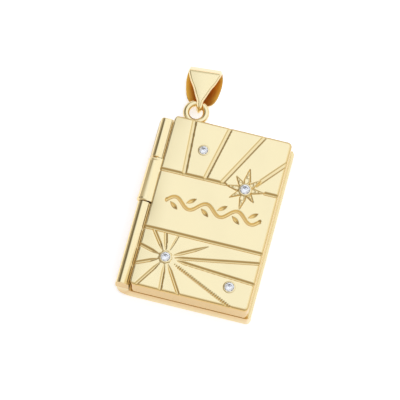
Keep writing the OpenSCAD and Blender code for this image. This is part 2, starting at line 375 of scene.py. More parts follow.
class LocketColours(bpy.types.PropertyGroup):
    """Colours of the metal, the stones and the studio."""

    gold: FloatVectorProperty(
        name="Plating",
        description="Colour of the polished plating",
        subtype="COLOR",
        default=linear("#F1D9A4"),
    )
    # Painted shade in recesses, on walls and on edges; also the pin's own colour
    shade_and_pin_gold: FloatVectorProperty(
        name="Plating in recesses",
        description="Colour of the plating where polishing doesn't reach",
        subtype="COLOR",
        default=linear("#D9B269"),
    )
    # Painted shade: the deeper, more orange plating inside the bail and the hollows
    inside_painted_shade_gold: FloatVectorProperty(
        name="Plating inside",
        description="Colour of the tumbled plating inside the bail and the locket",
        subtype="COLOR",
        default=linear("#E8AC42"),
    )
    stone: FloatVectorProperty(
        name="Stone",
        description="Colour of the clear cut stones",
        subtype="COLOR",
        default=linear("#FFF6EA"),
    )
    # Partly the ground girdle's own grey, partly painted shade for the stones' dark rim
    stone_edge_and_shade: FloatVectorProperty(
        name="Stone's edge",
        description="Colour of the ground edge of the stones",
        subtype="COLOR",
        default=linear("#8F8891"),
    )
    floor: FloatVectorProperty(
        name="Floor",
        description="Colour of the studio floor",
        subtype="COLOR",
        default=linear("#F2F1F3"),
    )


def add_node(tree, kind, settings=None, links=None):
    """Adds a node, sets its properties and sockets, and links its inputs."""
    node = tree.nodes.new(kind)
    for name, value in (settings or {}).items():
        if name in node.bl_rna.properties and not node.bl_rna.properties[name].is_readonly:
            setattr(node, name, value)
        else:
            node.inputs[name].default_value = value
    for name, source in (links or {}).items():
        tree.links.new(source, node.inputs[name])
    return node


def set_ramp(node, stops):
    """Gives a colour ramp its stops: (place, colour)."""
    elements = node.color_ramp.elements
    while len(elements) > 1:
        elements.remove(elements[-1])
    first_place, first_colour = stops[0]
    elements[0].position = first_place
    elements[0].color = (*first_colour, 1)
    for place, colour in stops[1:]:
        elements.new(place).color = (*colour, 1)


def new_material(name, settings):
    """A material of one shader with its settings, its node tree and that shader."""
    material = bpy.data.materials.new(name)
    material.use_nodes = True
    tree = material.node_tree
    tree.nodes.clear()
    shader = add_node(tree, "ShaderNodeBsdfPrincipled", settings)
    add_node(tree, "ShaderNodeOutputMaterial", links={"Surface": shader.outputs["BSDF"]})
    return material, tree, shader


def shared_material(name, make):
    """The material of that name, made the first time it is asked for."""
    return bpy.data.materials.get(name) or make(name)


def surface_marks(tree, shader, place, size, height, detail=2.0, fine=0.5):
    """Marks of a real size and height in millimetres, which tilt the surface a little."""
    marks = add_node(
        tree,
        "ShaderNodeTexNoise",
        {"Scale": 1 / (size * MM), "Detail": detail, "Roughness": fine},
        {"Vector": place},
    )
    bump = add_node(
        tree, "ShaderNodeBump", {"Distance": height * MM}, {"Height": marks.outputs["Fac"]}
    )
    tree.links.new(bump.outputs["Normal"], shader.inputs["Normal"])


def plated_brass(name, colour, deep, roughness, haze, grain, grain_height):
    """Cast brass, gold plated. The plating follows the polish under it: a faint haze in patches
    and fine polishing marks. Its deeper colour in recesses, on walls and on edges is painted
    shade."""
    material, tree, shader = new_material(name, {"Metallic": 1.0})
    place = add_node(tree, "ShaderNodeTexCoord").outputs["Object"]
    painted_shade = add_node(tree, "ShaderNodeAttribute", {"attribute_name": "painted_shade"}).outputs["Fac"]
    patch_scale = 1 / (HAZE_PATCH * MM)
    patches = add_node(
        tree, "ShaderNodeTexNoise", {"Scale": patch_scale, "Detail": 2.0}, {"Vector": place}
    )
    # Mixes in the deeper colour where shade is painted
    tint = add_node(tree, "ShaderNodeMix", {"data_type": "RGBA"}, {"Factor": painted_shade})
    tint.inputs[6].default_value = (*colour, 1)
    tint.inputs[7].default_value = (*deep, 1)
    rough = add_node(
        tree,
        "ShaderNodeMapRange",
        {"From Min": 0.3, "From Max": 0.7, "To Min": roughness, "To Max": roughness + haze},
        {"Value": patches.outputs["Fac"]},
    )
    tree.links.new(tint.outputs[2], shader.inputs["Base Color"])
    tree.links.new(rough.outputs["Result"], shader.inputs["Roughness"])
    surface_marks(tree, shader, place, grain, grain_height, detail=3.0, fine=0.6)
    return material


def polished_plating(colours):
    """The outside: mirror polished, with only a trace of the mop's marks."""
    return shared_material(
        "gold_plated_brass_polished",
        lambda name: plated_brass(
            name,
            colours.gold,
            colours.shade_and_pin_gold,
            roughness=0.1,
            haze=0.05,
            grain=0.09,
            grain_height=0.0006,
        ),
    )


def shaded_satin_plating(colours):
    """The inside: plated as cast and tumbled, so it is duller and slightly grainy. Its deeper,
    more orange colour is painted shade.
    """
    return shared_material(
        "gold_plated_brass_tumbled_painted_shade",
        lambda name: plated_brass(
            name,
            colours.inside_painted_shade_gold,
            colours.shade_and_pin_gold,
            roughness=0.28,
            haze=0.08,
            grain=0.14,
            grain_height=0.003,
        ),
    )


def cut_crystal(colours):
    """Cubic zirconia, cut and polished: clear, hard and of high index, so it glitters."""

    def make(name):
        settings = {
            "Base Color": (*colours.stone, 1),
            "Roughness": 0.0,
            "IOR": CRYSTAL_IOR,
            "Transmission Weight": 1.0,
        }
        return new_material(name, settings)[0]

    return shared_material("cubic_zirconia_cut", make)


def ground_crystal_and_shade(colours):
    """The stones' edge: cubic zirconia as ground, not polished, so it looks grey. The grey over
    the outer facets is also painted shade for the stones' dark rim.
    """

    def make(name):
        settings = {
            "Base Color": (*colours.stone_edge_and_shade, 1),
            "Roughness": 0.3,
            "IOR": CRYSTAL_IOR,
            "Transmission Weight": 0.5,
        }
        material, tree, shader = new_material(name, settings)
        place = add_node(tree, "ShaderNodeTexCoord").outputs["Object"]
        surface_marks(tree, shader, place, size=0.12, height=0.004)
        return material

    return shared_material("cubic_zirconia_ground_and_shade", make)


def drawn_rod(colours):
    """The pin: drawn brass rod, plated with the rest, with fine marks along its length."""

    def make(name):
        settings = {
            "Base Color": (*colours.shade_and_pin_gold, 1),
            "Metallic": 1.0,
            "Roughness": 0.25,
        }
        material, tree, shader = new_material(name, settings)
        place = add_node(tree, "ShaderNodeTexCoord").outputs["Object"]
        along = add_node(
            tree, "ShaderNodeMapping", {"Scale": (1.0, 0.05, 1.0)}, {"Vector": place}
        )
        surface_marks(tree, shader, along.outputs["Vector"], size=0.06, height=0.002)
        return material

    return shared_material("brass_rod_drawn", make)


def finish_piece(bm, name, body, node, materials, even=True):
    """Turns a millimetre bmesh into a smooth-shaded piece in metres that rides on its body and
    stands in for its node."""
    bmesh.ops.remove_doubles(bm, verts=bm.verts, dist=1e-4)
    bmesh.ops.recalc_face_normals(bm, faces=bm.faces)
    for face in bm.faces:
        face.smooth = True
    sharp = math.radians(40)
    for edge in bm.edges:
        edge.smooth = not (len(edge.link_faces) == 2 and edge.calc_face_angle() > sharp)
    bmesh.ops.scale(bm, vec=(MM, MM, MM), verts=bm.verts)
    mesh = bpy.data.meshes.new(name)
    bm.to_mesh(mesh)
    bm.free()
    for material in materials:
        mesh.materials.append(material)
    piece = bpy.data.objects.new(name, mesh)
    bpy.context.scene.collection.objects.link(piece)
    if even:
        # Keeps the broad faces flat next to their rounded edges
        weighted = piece.modifiers.new("even_faces", "WEIGHTED_NORMAL")
        weighted.keep_sharp = True
    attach(piece, body)
    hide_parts(node)
    return piece


def bevel(bm, geometry, offset, segments, affect="EDGES"):
    """Rounds edges or corners."""
    bmesh.ops.bevel(
        bm,
        geom=geometry,
        offset=offset,
        offset_type="OFFSET",
        segments=segments,
        profile=0.5,
        affect=affect,
        clamp_overlap=True,
        material=-1,
    )


def move(bm, vertices, x=0.0, y=0.0, z=0.0):
    """Moves vertices by millimetres."""
    bmesh.ops.translate(bm, verts=list(vertices), vec=(x, y, z))


def extruded_edges(bm, edges):
    """Extrudes edges and returns the new vertices and the new edges."""
    made = bmesh.ops.extrude_edge_only(bm, edges=edges)["geom"]
    vertices = {g for g in made if isinstance(g, bmesh.types.BMVert)}
    outer = [g for g in made if isinstance(g, bmesh.types.BMEdge) and vertices.issuperset(g.verts)]
    return vertices, outer


def extruded_face(bm, face):
    """Extrudes one face, deletes it and returns the new one."""
    made = bmesh.ops.extrude_face_region(bm, geom=[face])["geom"]
    bmesh.ops.delete(bm, geom=[face], context="FACES_ONLY")
    return next(g for g in made if isinstance(g, bmesh.types.BMFace))


def neighbour(vertex, others):
    """The one of the other vertices that an edge joins to this one."""
    ends = (e.other_vert(vertex) for e in vertex.link_edges)
    return next(v for v in ends if v in others)


def all_near(part, place):
    """Whether an edge or face lies at the place; None in it leaves that direction free."""
    return all(
        p is None or abs(c - p) < 1e-3 for v in part.verts for c, p in zip(v.co, place)
    )


def edges_at(bm, place):
    """Edges that lie at the place."""
    return [e for e in bm.edges if all_near(e, place)]


def painted_wall_shade(x, opening):
    """How much painted shade a side wall gets: less past the opening side's place."""
    return OPENING_PAINTED_SHADE if x > opening else WALL_PAINTED_SHADE


def give_hollow_shaded_satin(bm, low, high):
    """Gives the second material, the tumbled plating whose deeper colour is painted shade, to
    the faces of a half's hollow, between two heights.
    """
    for face in bm.faces:
        x, y, z = face.calc_center_median()
        inside = abs(x) < HOLLOW_X + 0.01 and abs(y) < HOLLOW_Y + 0.01
        face.material_index = 1 if inside and low < z < high else 0


def spun(bm, profile, middle, axis, steps, closed=False):
    """Spins a line of points, each (radius, along), round an axis that is square to X."""
    start = Vector(middle)
    points = [bm.verts.new(start + Vector((r, 0, 0)) + Vector(axis) * a) for r, a in profile]
    pairs = list(zip(points, points[1:])) + ([(points[-1], points[0])] if closed else [])
    edges = [bm.edges.new(pair) for pair in pairs]
    bmesh.ops.spin(
        bm,
        geom=points + edges,
        cent=middle,
        axis=axis,
        angle=2 * math.pi,
        steps=steps,
        use_merge=True,
    )


def ease(t):
    """Goes smoothly from 0 to 1."""
    t = np.clip(t, 0, 1)
    return t * t * (3 - 2 * t)


def from_line(x, y, a, b):
    """Distance of each place from a line between two ends, and how far along the line it is."""
    run = np.subtract(b, a)
    length = math.hypot(*run)
    along = np.clip(((x - a[0]) * run[0] + (y - a[1]) * run[1]) / length, 0, length)
    away = np.hypot(x - a[0] - along * run[0] / length, y - a[1] - along * run[1] / length)
    return away, along


def stem_cut(away, half, depth):
    """Depth of a channel with a round bottom and a soft lip."""
    across = np.clip(away / half, 0, 1)
    return depth * (1 - across**2) ** 1.15


def trough(away, a, b, x, y, cut, depth):
    """Depth of a channel with uneven walls, and how far each place lies on its first wall, which
    gets painted shade. The cut is where it starts, reaches its floor, leaves it and ends, across
    the line."""
    first, floor, leave, last = cut
    run = (b[0] - a[0], b[1] - a[1])
    right = (x - a[0]) * run[1] > (y - a[1]) * run[0]
    # The first wall is the upper or left one, whichever way the line runs
    side = np.where(right == (run[0] + run[1] > 0), away, -away)
    down = ease((side - first) / (floor - first))
    up = ease((last - side) / (last - leave))
    cut_depth = depth * np.minimum(down, up)
    return cut_depth, np.where(cut_depth > 0, 4 * down * (1 - down), 0)


def burst_lines():
    """Every line of the burst: its two ends, the length over which it fades out, its strength,
    and whether it holds a row of beads."""
    rows = []
    middle = stone_place("stone_burst")[0].to_2d()
    for i, (x, y, start) in enumerate(BURST_LINES):
        run = Vector((x, y)) - middle
        if abs(x) > COVER_RIGHT - 0.1 or y < 0.1 - COVER_HEAD:
            over = LINE_OVERRUN
        else:
            over = -BAND_STOP if y > BAND_FOOT - 0.1 else 0
        first = middle + run.normalized() * start
        last = middle + run.normalized() * (run.length + over)
        fade = 0 if over else LINE_FADE
        strength = FAINT_STRENGTH if i == FAINT_LINE else 1
        rows.append((tuple(first), tuple(last), fade, strength, i == MILGRAIN_LINE))
    return rows


def framing_lines():
    """The lines along the band and up the face above it: their two ends, cut and depth's part."""
    edge = COVER_RIGHT + LINE_OVERRUN
    rows = [
        ((-edge, BAND_TOP), (STAR_GAP[0], BAND_TOP), BAND_CUT, BAND_DEPTH),
        ((STAR_GAP[1], BAND_TOP), (edge, BAND_TOP), BAND_CUT, BAND_DEPTH),
        ((-edge, BAND_FOOT), (edge, BAND_FOOT), BAND_CUT, BAND_DEPTH),
    ]
    for low, outer in UPPER_LINES:
        # The line runs on a little past the face's edge
        beyond = tuple(np.add(outer, 0.08 * np.subtract(outer, low)))
        rows.append((low, beyond, UPPER_CUT, UPPER_DEPTH))
    return rows


def stone_place(name):
    """A stone's middle at its table and its diameter, in millimetres."""
    low, high = node_box(name)
    return Vector(((low.x + high.x) / 2, (low.y + high.y) / 2, high.z)), high.x - low.x


def line_relief(x, y, bead_half, depth):
    """Depth of the straight lines, with fine beads in the one that has them, and how far each
    place lies on a channel's wall that gets painted shade."""
    deepest = np.zeros_like(x)
    shaded = np.zeros_like(x)
    for a, b, places, part in framing_lines():
        away, _ = from_line(x, y, a, b)
        cut, wall = trough(away, a, b, x, y, places, part * depth)
        deepest = np.maximum(deepest, cut)
        shaded = np.maximum(shaded, wall)
    for a, b, fade, strength, beaded in burst_lines():
        away, along = from_line(x, y, a, b)
        length = math.dist(a, b)
        grown = strength * np.clip(along / LINE_TAPER, 0.02, 1) ** 0.6
        if fade:
            grown *= np.clip((length - along) / fade, 0.02, 1) ** 0.6
        # Lines up the face are cut less deep than lines across it
        part = depth * grown * (0.74 + 0.26 * abs(b[0] - a[0]) / length)
        cut, wall = trough(away / grown, a, b, x, y, BURST_CUT, part)
        if beaded:
            across = np.clip(1 - away / bead_half, 0, 1)
            cut -= 0.95 * depth * across**0.5 * np.abs(np.sin(np.pi * along / MILGRAIN_PITCH))
            # The beaded line's walls get less painted shade
            wall *= 0.3
        deepest = np.maximum(deepest, cut)
        shaded = np.maximum(shaded, wall)
    return deepest, shaded


def scroll_relief(x, y, depth):
    """Depth of a plain running scroll with a leaf in each half wave."""
    u = x - SCROLL_MIDDLE[0]
    v = y - SCROLL_MIDDLE[1]
    turns = 2 * math.pi * SCROLL_WAVES
    inside = np.clip(u, -SCROLL_LENGTH / 2, SCROLL_LENGTH / 2)
    phase = turns * (inside / SCROLL_LENGTH + 0.5)
    slope = SCROLL_HEIGHT * turns / SCROLL_LENGTH * np.cos(phase)
    rise = (v - SCROLL_HEIGHT * np.sin(phase)) / np.sqrt(1 + slope**2)
    deepest = stem_cut(np.hypot(rise, u - inside), STEM_HALF, depth)
    half_wave = SCROLL_LENGTH / SCROLL_WAVES / 2
    for i in range(2 * SCROLL_WAVES):
        down = -1 if i % 2 == 0 else 1
        du = u - (half_wave * (i + LEAF_AT) - SCROLL_LENGTH / 2)
        dv = v - down * LEAF_OFF
        turn = down * LEAF_TURN
        along = (du * math.cos(turn) + dv * math.sin(turn)) / LEAF_LENGTH
        across = dv * math.cos(turn) - du * math.sin(turn)
        width = LEAF_HALF * np.sin(np.pi * np.clip(along, 0.001, 0.999))
        leaf = depth * (1 - ease(np.abs(across) / width)) * (width / LEAF_HALF) ** 0.5
        leaf = np.where((along > 0) & (along < 1), leaf, 0)
        deepest = np.maximum(deepest, leaf)
    return deepest


def star_relief(x, y):
    """Height of the star: each point is a leaf with a cut outline and beads inside, and the
    ground that it covers, where no engraved line shows."""
    middle, _ = stone_place("stone_star")
    height = np.zeros_like(x)
    covered = np.zeros_like(x)
    for tip_x, tip_y, half in STAR_POINTS:
        run = np.array((tip_x - middle.x, tip_y - middle.y))
        reach = math.hypot(*run)
        run = run / reach
        along = (x - middle.x) * run[0] + (y - middle.y) * run[1]
        across = (y - middle.y) * run[0] - (x - middle.x) * run[1]
        widest = POINT_WIDEST * reach
        width = np.where(
            along < widest, half * along / widest, half * (reach - along) / (reach - widest)
        )
        inward = np.where((along > 0) & (along < reach + 0.1), width - np.abs(across), -1)
        leaf = POINT_RIM * ease((inward + 0.01) / 0.06) - POINT_SINK * ease((inward - 0.08) / 0.05)
        outline = POINT_OUTLINE * (1 - ease(np.abs(inward + 0.04) / 0.06))
        for at, size in POINT_BEADS:
            bead = np.hypot(along - at * reach, across) / (size * half)
            leaf = np.maximum(leaf, POINT_BEAD_TOP * np.sqrt(np.clip(1 - bead**2, 0, 1)))
        height = np.where(inward > -0.11, np.where(leaf > 0, leaf, height - outline), height)
        covered = np.maximum(covered, ease((inward + 0.16) / 0.06))
    return height, covered


def setting_relief(x, y, relief):
    """Height of the raised settings of the star's and the burst's stones."""
    height = np.zeros_like(x)
    for name in RAISED_STONES:
        middle, diameter = stone_place(name)
        away = np.hypot(x - middle.x, y - middle.y)
        round_it = np.arctan2(y - middle.y, x - middle.x)
        lobes = SETTING_LOBE_HEIGHT * np.cos(SETTING_LOBES * round_it)
        slope = ease((away - diameter / 2 - 0.1 - lobes) / 0.12)
        height = np.maximum(height, relief * (1 - slope))
    return height


def well_relief(x, y):
    """Depth of the wells under the stones, whose edges lie under the collars."""
    deepest = np.zeros_like(x)
    for name in STONES:
        middle, diameter = stone_place(name)
        away = np.hypot(x - middle.x, y - middle.y)
        deepest = np.where(away < diameter / 2 + 0.07, 0.62, deepest)
    return deepest


def polished_ground(x, y):
    """Height of the bare face, which polishing leaves slightly uneven, and lower at the spine."""
    waves = 0.016 * np.sin(0.9 * x + 0.5 * y) + 0.014 * np.sin(0.35 * x - 1.1 * y + 1)
    return waves - 0.03 - 0.07 * np.clip((-x - 4.7) / 1.9, 0, 1) ** 2


def face_relief(x, y, sizes):
    """Height of the cover's face at each place, and how much painted shade each place gets."""
    depth = sizes.line_depth / MM
    lines, shaded = line_relief(x, y, sizes.bead_width / MM / 2, depth)
    scroll = scroll_relief(x, y, SCROLL_DEPTH * depth)
    star, covered = star_relief(x, y)
    settings = setting_relief(x, y, sizes.relief / MM)
    wells = well_relief(x, y)
    engraved = np.maximum(lines, scroll) * (1 - covered)
    raised = np.where(settings > 1e-3, np.maximum(settings, star), star - engraved)
    # Painted shade in the channels' floors, on their first walls and in the star's outlines
    painted_shades = (
        FLOOR_PAINTED_SHADE * np.clip(engraved / 0.16, 0, 1),
        WALL_PAINTED_SHADE * shaded * (1 - covered),
        STAR_PAINTED_SHADE * np.clip(-star / POINT_OUTLINE, 0, 1),
    )
    # Full painted shade in the wells under the stones
    height = np.where(wells > 0, -wells, raised + polished_ground(x, y))
    return height, np.where(wells > 0, 1.0, np.maximum.reduce(painted_shades))


def plan(x, y, half_x, half_y, corner):
    """Moves places in a rectangle into one of another size with rounded corners."""
    a = (np.abs(x) - (half_x - corner)) / corner
    b = (np.abs(y) - (half_y - corner)) / corner
    at_corner = (a > 0) & (b > 0)
    round_a = np.where(at_corner, a * np.sqrt(np.clip(1 - b * b / 2, 0, 1)), a)
    round_b = np.where(at_corner, b * np.sqrt(np.clip(1 - a * a / 2, 0, 1)), b)
    new_x = np.sign(x) * (half_x - corner + corner * round_a)
    new_y = np.sign(y) * (half_y - corner + corner * round_b)
    return new_x, new_y


def inside_edge(x, y, half_x, half_y, corner):
    """Distance of each place from the outline of a rectangle with rounded corners."""
    a = np.abs(x) - (half_x - corner)
    b = np.abs(y) - (half_y - corner)
    outside = np.hypot(np.maximum(a, 0), np.maximum(b, 0))
    return corner - outside - np.minimum(np.maximum(a, b), 0)


def edge_rows(half, spacing, rounded):
    """Places of a grid's rows from -half to half, closer together in the rounded edge."""
    arc = [half - rounded * (1 - math.cos(math.radians(a))) for a in (0, 18, 36, 54, 72)]
    count = max(2, round(2 * (half - rounded) / spacing))
    middle = np.linspace(-(half - rounded), half - rounded, count + 1)
    return np.concatenate([[-p for p in arc], middle, arc[::-1]])


def coordinates(bm):
    """The bmesh's vertices as an array."""
    return np.array([v.co for v in bm.verts])


class LOCKET_OT_case(bpy.types.Operator):
    """Makes the case with its spine, two hinge tubes and hanging ring"""

    bl_idname = "locket.case"
    bl_label = "Case"

    def execute(self, context):
        colours = context.scene.locket_colours
        polished = polished_plating(colours)
        self.make_shell(polished, shaded_satin_plating(colours))
        self.make_tubes(polished)
        self.make_ring(polished, context.scene.locket_sizes.ring_wire / MM)
        return {"FINISHED"}

    def make_shell(self, polished, satin):
        """The hollow half with the rounded spine, pulled along Y from its side view."""
        bm = bmesh.new()
        corners = [
            (CASE_LEFT, 0),
            (CASE_RIGHT, 0),
            (CASE_RIGHT, CASE_TOP),
            (LEDGE_RIGHT, CASE_TOP),
            (LEDGE_RIGHT, LEDGE_TOP),
            (CASE_LEFT, LEDGE_TOP),
        ]
        face = bm.faces.new([bm.verts.new((x, CASE_FOOT, z)) for x, z in corners])
        # Roundings of the corners by their place in the list, each with its segments
        rounds = {
            0: (SPINE_ROUND, 12),
            1: (CASE_EDGE_ROUND, 4),
            2: (0.04, 2),
            4: (0.04, 2),
            5: (0.1, 3),
        }
        corner_verts = list(face.verts)
        for i, (radius, segments) in rounds.items():
            bevel(bm, [corner_verts[i]], radius, segments, "VERTICES")
        far = extruded_face(bm, bm.faces[:][0])
        move(bm, far.verts, y=-2 * CASE_FOOT)
        near_end = edges_at(bm, (None, CASE_FOOT, None))
        bmesh.ops.edgeloop_fill(bm, edges=near_end)
        ends = near_end + edges_at(bm, (None, -CASE_FOOT, None))
        # The rim's edges stay sharp, where the cover lies on them
        lower = [e for e in ends if min(v.co.z for v in e.verts) <= CASE_TOP - 0.1]
        bevel(bm, lower, CASE_END_ROUND, 4)
        self.round_corners(bm)
        self.cut_pocket(bm)
        # Painted shade on the case's side walls, less on the opening side
        painted_shade = bm.verts.layers.float.new("painted_shade")
        for v in bm.verts:
            side = 0.1 < v.co.z < CASE_TOP + 0.01
            v[painted_shade] = painted_wall_shade(v.co.x, COVER_RIGHT) if side else 0.0
        give_hollow_shaded_satin(bm, BACK_WALL - 0.01, CASE_TOP - 0.02)
        finish_piece(bm, "case_shell", "case", "back_case", [polished, satin])

    def round_corners(self, bm):
        """Rounds the case's four corners, seen from the front."""
        middle = (CASE_LEFT + CASE_RIGHT) / 2
        half_x = (CASE_RIGHT - CASE_LEFT) / 2
        for part in (1.0, 0.75, 0.5):
            inset = CASE_CORNER * part
            for side in (-1, 1):
                for place, normal in (
                    ((middle + side * (half_x - inset), 0, 0), (1, 0, 0)),
                    ((0, side * (-CASE_FOOT - inset), 0), (0, 1, 0)),
                ):
                    geometry = bm.verts[:] + bm.edges[:] + bm.faces[:]
                    bmesh.ops.bisect_plane(bm, geom=geometry, plane_co=place, plane_no=normal)
        places = coordinates(bm)
        x, y = plan(places[:, 0] - middle, places[:, 1], half_x, -CASE_FOOT, CASE_CORNER)
        for vertex, px, py in zip(bm.verts, x + middle, y):
            vertex.co.x = px
            vertex.co.y = py

    def cut_pocket(self, bm):
        """Sinks the hollow into the rim's face."""
        rim_place = (None, None, CASE_TOP)
        for x, y in ((HOLLOW_X, 0), (-HOLLOW_X, 0), (0, HOLLOW_Y), (0, -HOLLOW_Y)):
            rim = [f for f in bm.faces if all_near(f, rim_place)]
            parts = set(rim)
            for f in rim:
                parts.update(f.edges)
                parts.update(f.verts)
            normal = (1, 0, 0) if x else (0, 1, 0)
            bmesh.ops.bisect_plane(bm, geom=list(parts), plane_co=(x, y, 0), plane_no=normal)

        def inside(v):
            return abs(v.co.x) < HOLLOW_X + 1e-3 and abs(v.co.y) < HOLLOW_Y + 1e-3

        def at_corner(v):
            return abs(abs(v.co.x) - HOLLOW_X) < 1e-3 and abs(abs(v.co.y) - HOLLOW_Y) < 1e-3

        rim = (f for f in bm.faces if all_near(f, rim_place))
        mouth = next(f for f in rim if all(inside(v) for v in f.verts))
        floor = extruded_face(bm, mouth)
        move(bm, floor.verts, z=BACK_WALL - CASE_TOP)
        uprights = [
            e
            for e in bm.edges
            if abs(e.verts[0].co.z - e.verts[1].co.z) > 1 and all(at_corner(v) for v in e.verts)
        ]
        bevel(bm, uprights, HOLLOW_CORNER, 5)
        low = [e for e in edges_at(bm, (None, None, BACK_WALL)) if all(inside(v) for v in e.verts)]
        bevel(bm, low, HOLLOW_FLOOR_ROUND, 3)

    def make_tubes(self, polished):
        """Two tubes on webs that stand on the ledge, open for the pin at their facing ends."""
        for name, (radius, foot, head, bore_foot) in CASE_TUBES.items():
            bm = bmesh.new()
            self.draw_tube(bm, radius, foot)
            outer = list(bm.edges)
            far, far_outer = extruded_edges(bm, outer)
            move(bm, far, y=head - foot)
            start = self.circle(bm, PIN_BORE, bore_foot, 32)
            mouth = self.circle(bm, PIN_BORE, head, 32)
            bmesh.ops.bridge_loops(bm, edges=start + mouth)
            bmesh.ops.triangle_fill(bm, edges=far_outer + mouth, use_beauty=True)
            closed = bore_foot > foot
            if closed:
                bmesh.ops.edgeloop_fill(bm, edges=start)
                bmesh.ops.edgeloop_fill(bm, edges=outer)
            else:
                bmesh.ops.triangle_fill(bm, edges=outer + start, use_beauty=True)
            bevel(bm, self.round_part(outer + far_outer, radius), TUBE_END_ROUND, 5)
            # Painted shade on the closed foot end of the low tube
            painted_shade = bm.verts.layers.float.new("painted_shade")
            for v in bm.verts:
                v[painted_shade] = WALL_PAINTED_SHADE if closed and v.co.y < foot + 0.01 else 0.0
            finish_piece(bm, name, "case", "back_case", [polished])

    def circle(self, bm, radius, y, steps):
        """Draws a circle round the hinge's axis and returns its edges."""
        turn = Matrix.Rotation(math.radians(90), 4, "X")
        place = Matrix.Translation((HINGE.x, y, HINGE.z)) @ turn
        verts = bmesh.ops.create_circle(
            bm, cap_ends=False, segments=steps, radius=radius, matrix=place
        )["verts"]
        return [e for e in bm.edges if all(v in verts for v in e.verts)]

    def draw_tube(self, bm, radius, foot):
        """Draws a tube's end: the upper part of a circle, with its web down to the ledge."""
        self.circle(bm, radius, foot, 48)
        web_from = WEB_FROM * radius
        lower = [
            v for v in bm.verts if v.co.z < HINGE.z + (web_from if v.co.x > HINGE.x else -1e-4)
        ]
        bmesh.ops.delete(bm, geom=lower, context="VERTS")
        ends = [v for v in bm.verts if len(v.link_edges) == 1]
        left, right = sorted(ends, key=lambda v: v.co.x)
        in_ledge = LEDGE_TOP - 0.1
        left_foot = self.drawn_on(bm, left, left.co.x, in_ledge)
        for x, z in (*WEB_WAY, (LEDGE_RIGHT, in_ledge)):
            right = self.drawn_on(bm, right, x, z)
        bm.edges.new((left_foot, right))

    def round_part(self, edges, radius):
        """The edges that lie on the tube itself and not on its web."""
        return [
            e
            for e in edges
            if all(math.hypot(v.co.x - HINGE.x, v.co.z - HINGE.z) < radius + 0.01 for v in e.verts)
        ]

    def drawn_on(self, bm, vertex, x, z):
        """Draws a side view's outline on to its next corner."""
        corner = bmesh.ops.extrude_vert_indiv(bm, verts=[vertex])["verts"][0]
        corner.co.x = x
        corner.co.z = z
        return corner

    def make_ring(self, polished, wire):
        """A cast ring on a short foot that is soldered to the case's head."""
        bm = bmesh.new()
        arcs = [2 * math.pi * i / 20 for i in range(20)]
        section = [(RING_RADIUS + wire * math.cos(a), wire * math.sin(a)) for a in arcs]
        spun(bm, section, RING_MIDDLE, (0, 0, 1), 72, closed=True)
        finish_piece(bm, "hanging_ring", "case", "back_case", [polished], even=False)
        bm = bmesh.new()
        head = -CASE_FOOT
        top = RING_MIDDLE.y - RING_RADIUS
        foot = [
            (0.0, head - 0.03),
            (wire + 0.16, head - 0.03),
            (wire + 0.16, head),
            (wire + 0.08, head + 0.04),
            (wire + 0.03, head + 0.11),
            (wire, head + 0.22),
            (wire, top + 0.1),
            (0.0, top + 0.1),
        ]
        spun(bm, foot, (RING_MIDDLE.x, 0, RING_MIDDLE.z), (0, 1, 0), 40)
        finish_piece(bm, "ring_foot", "case", "back_case", [polished], even=False)


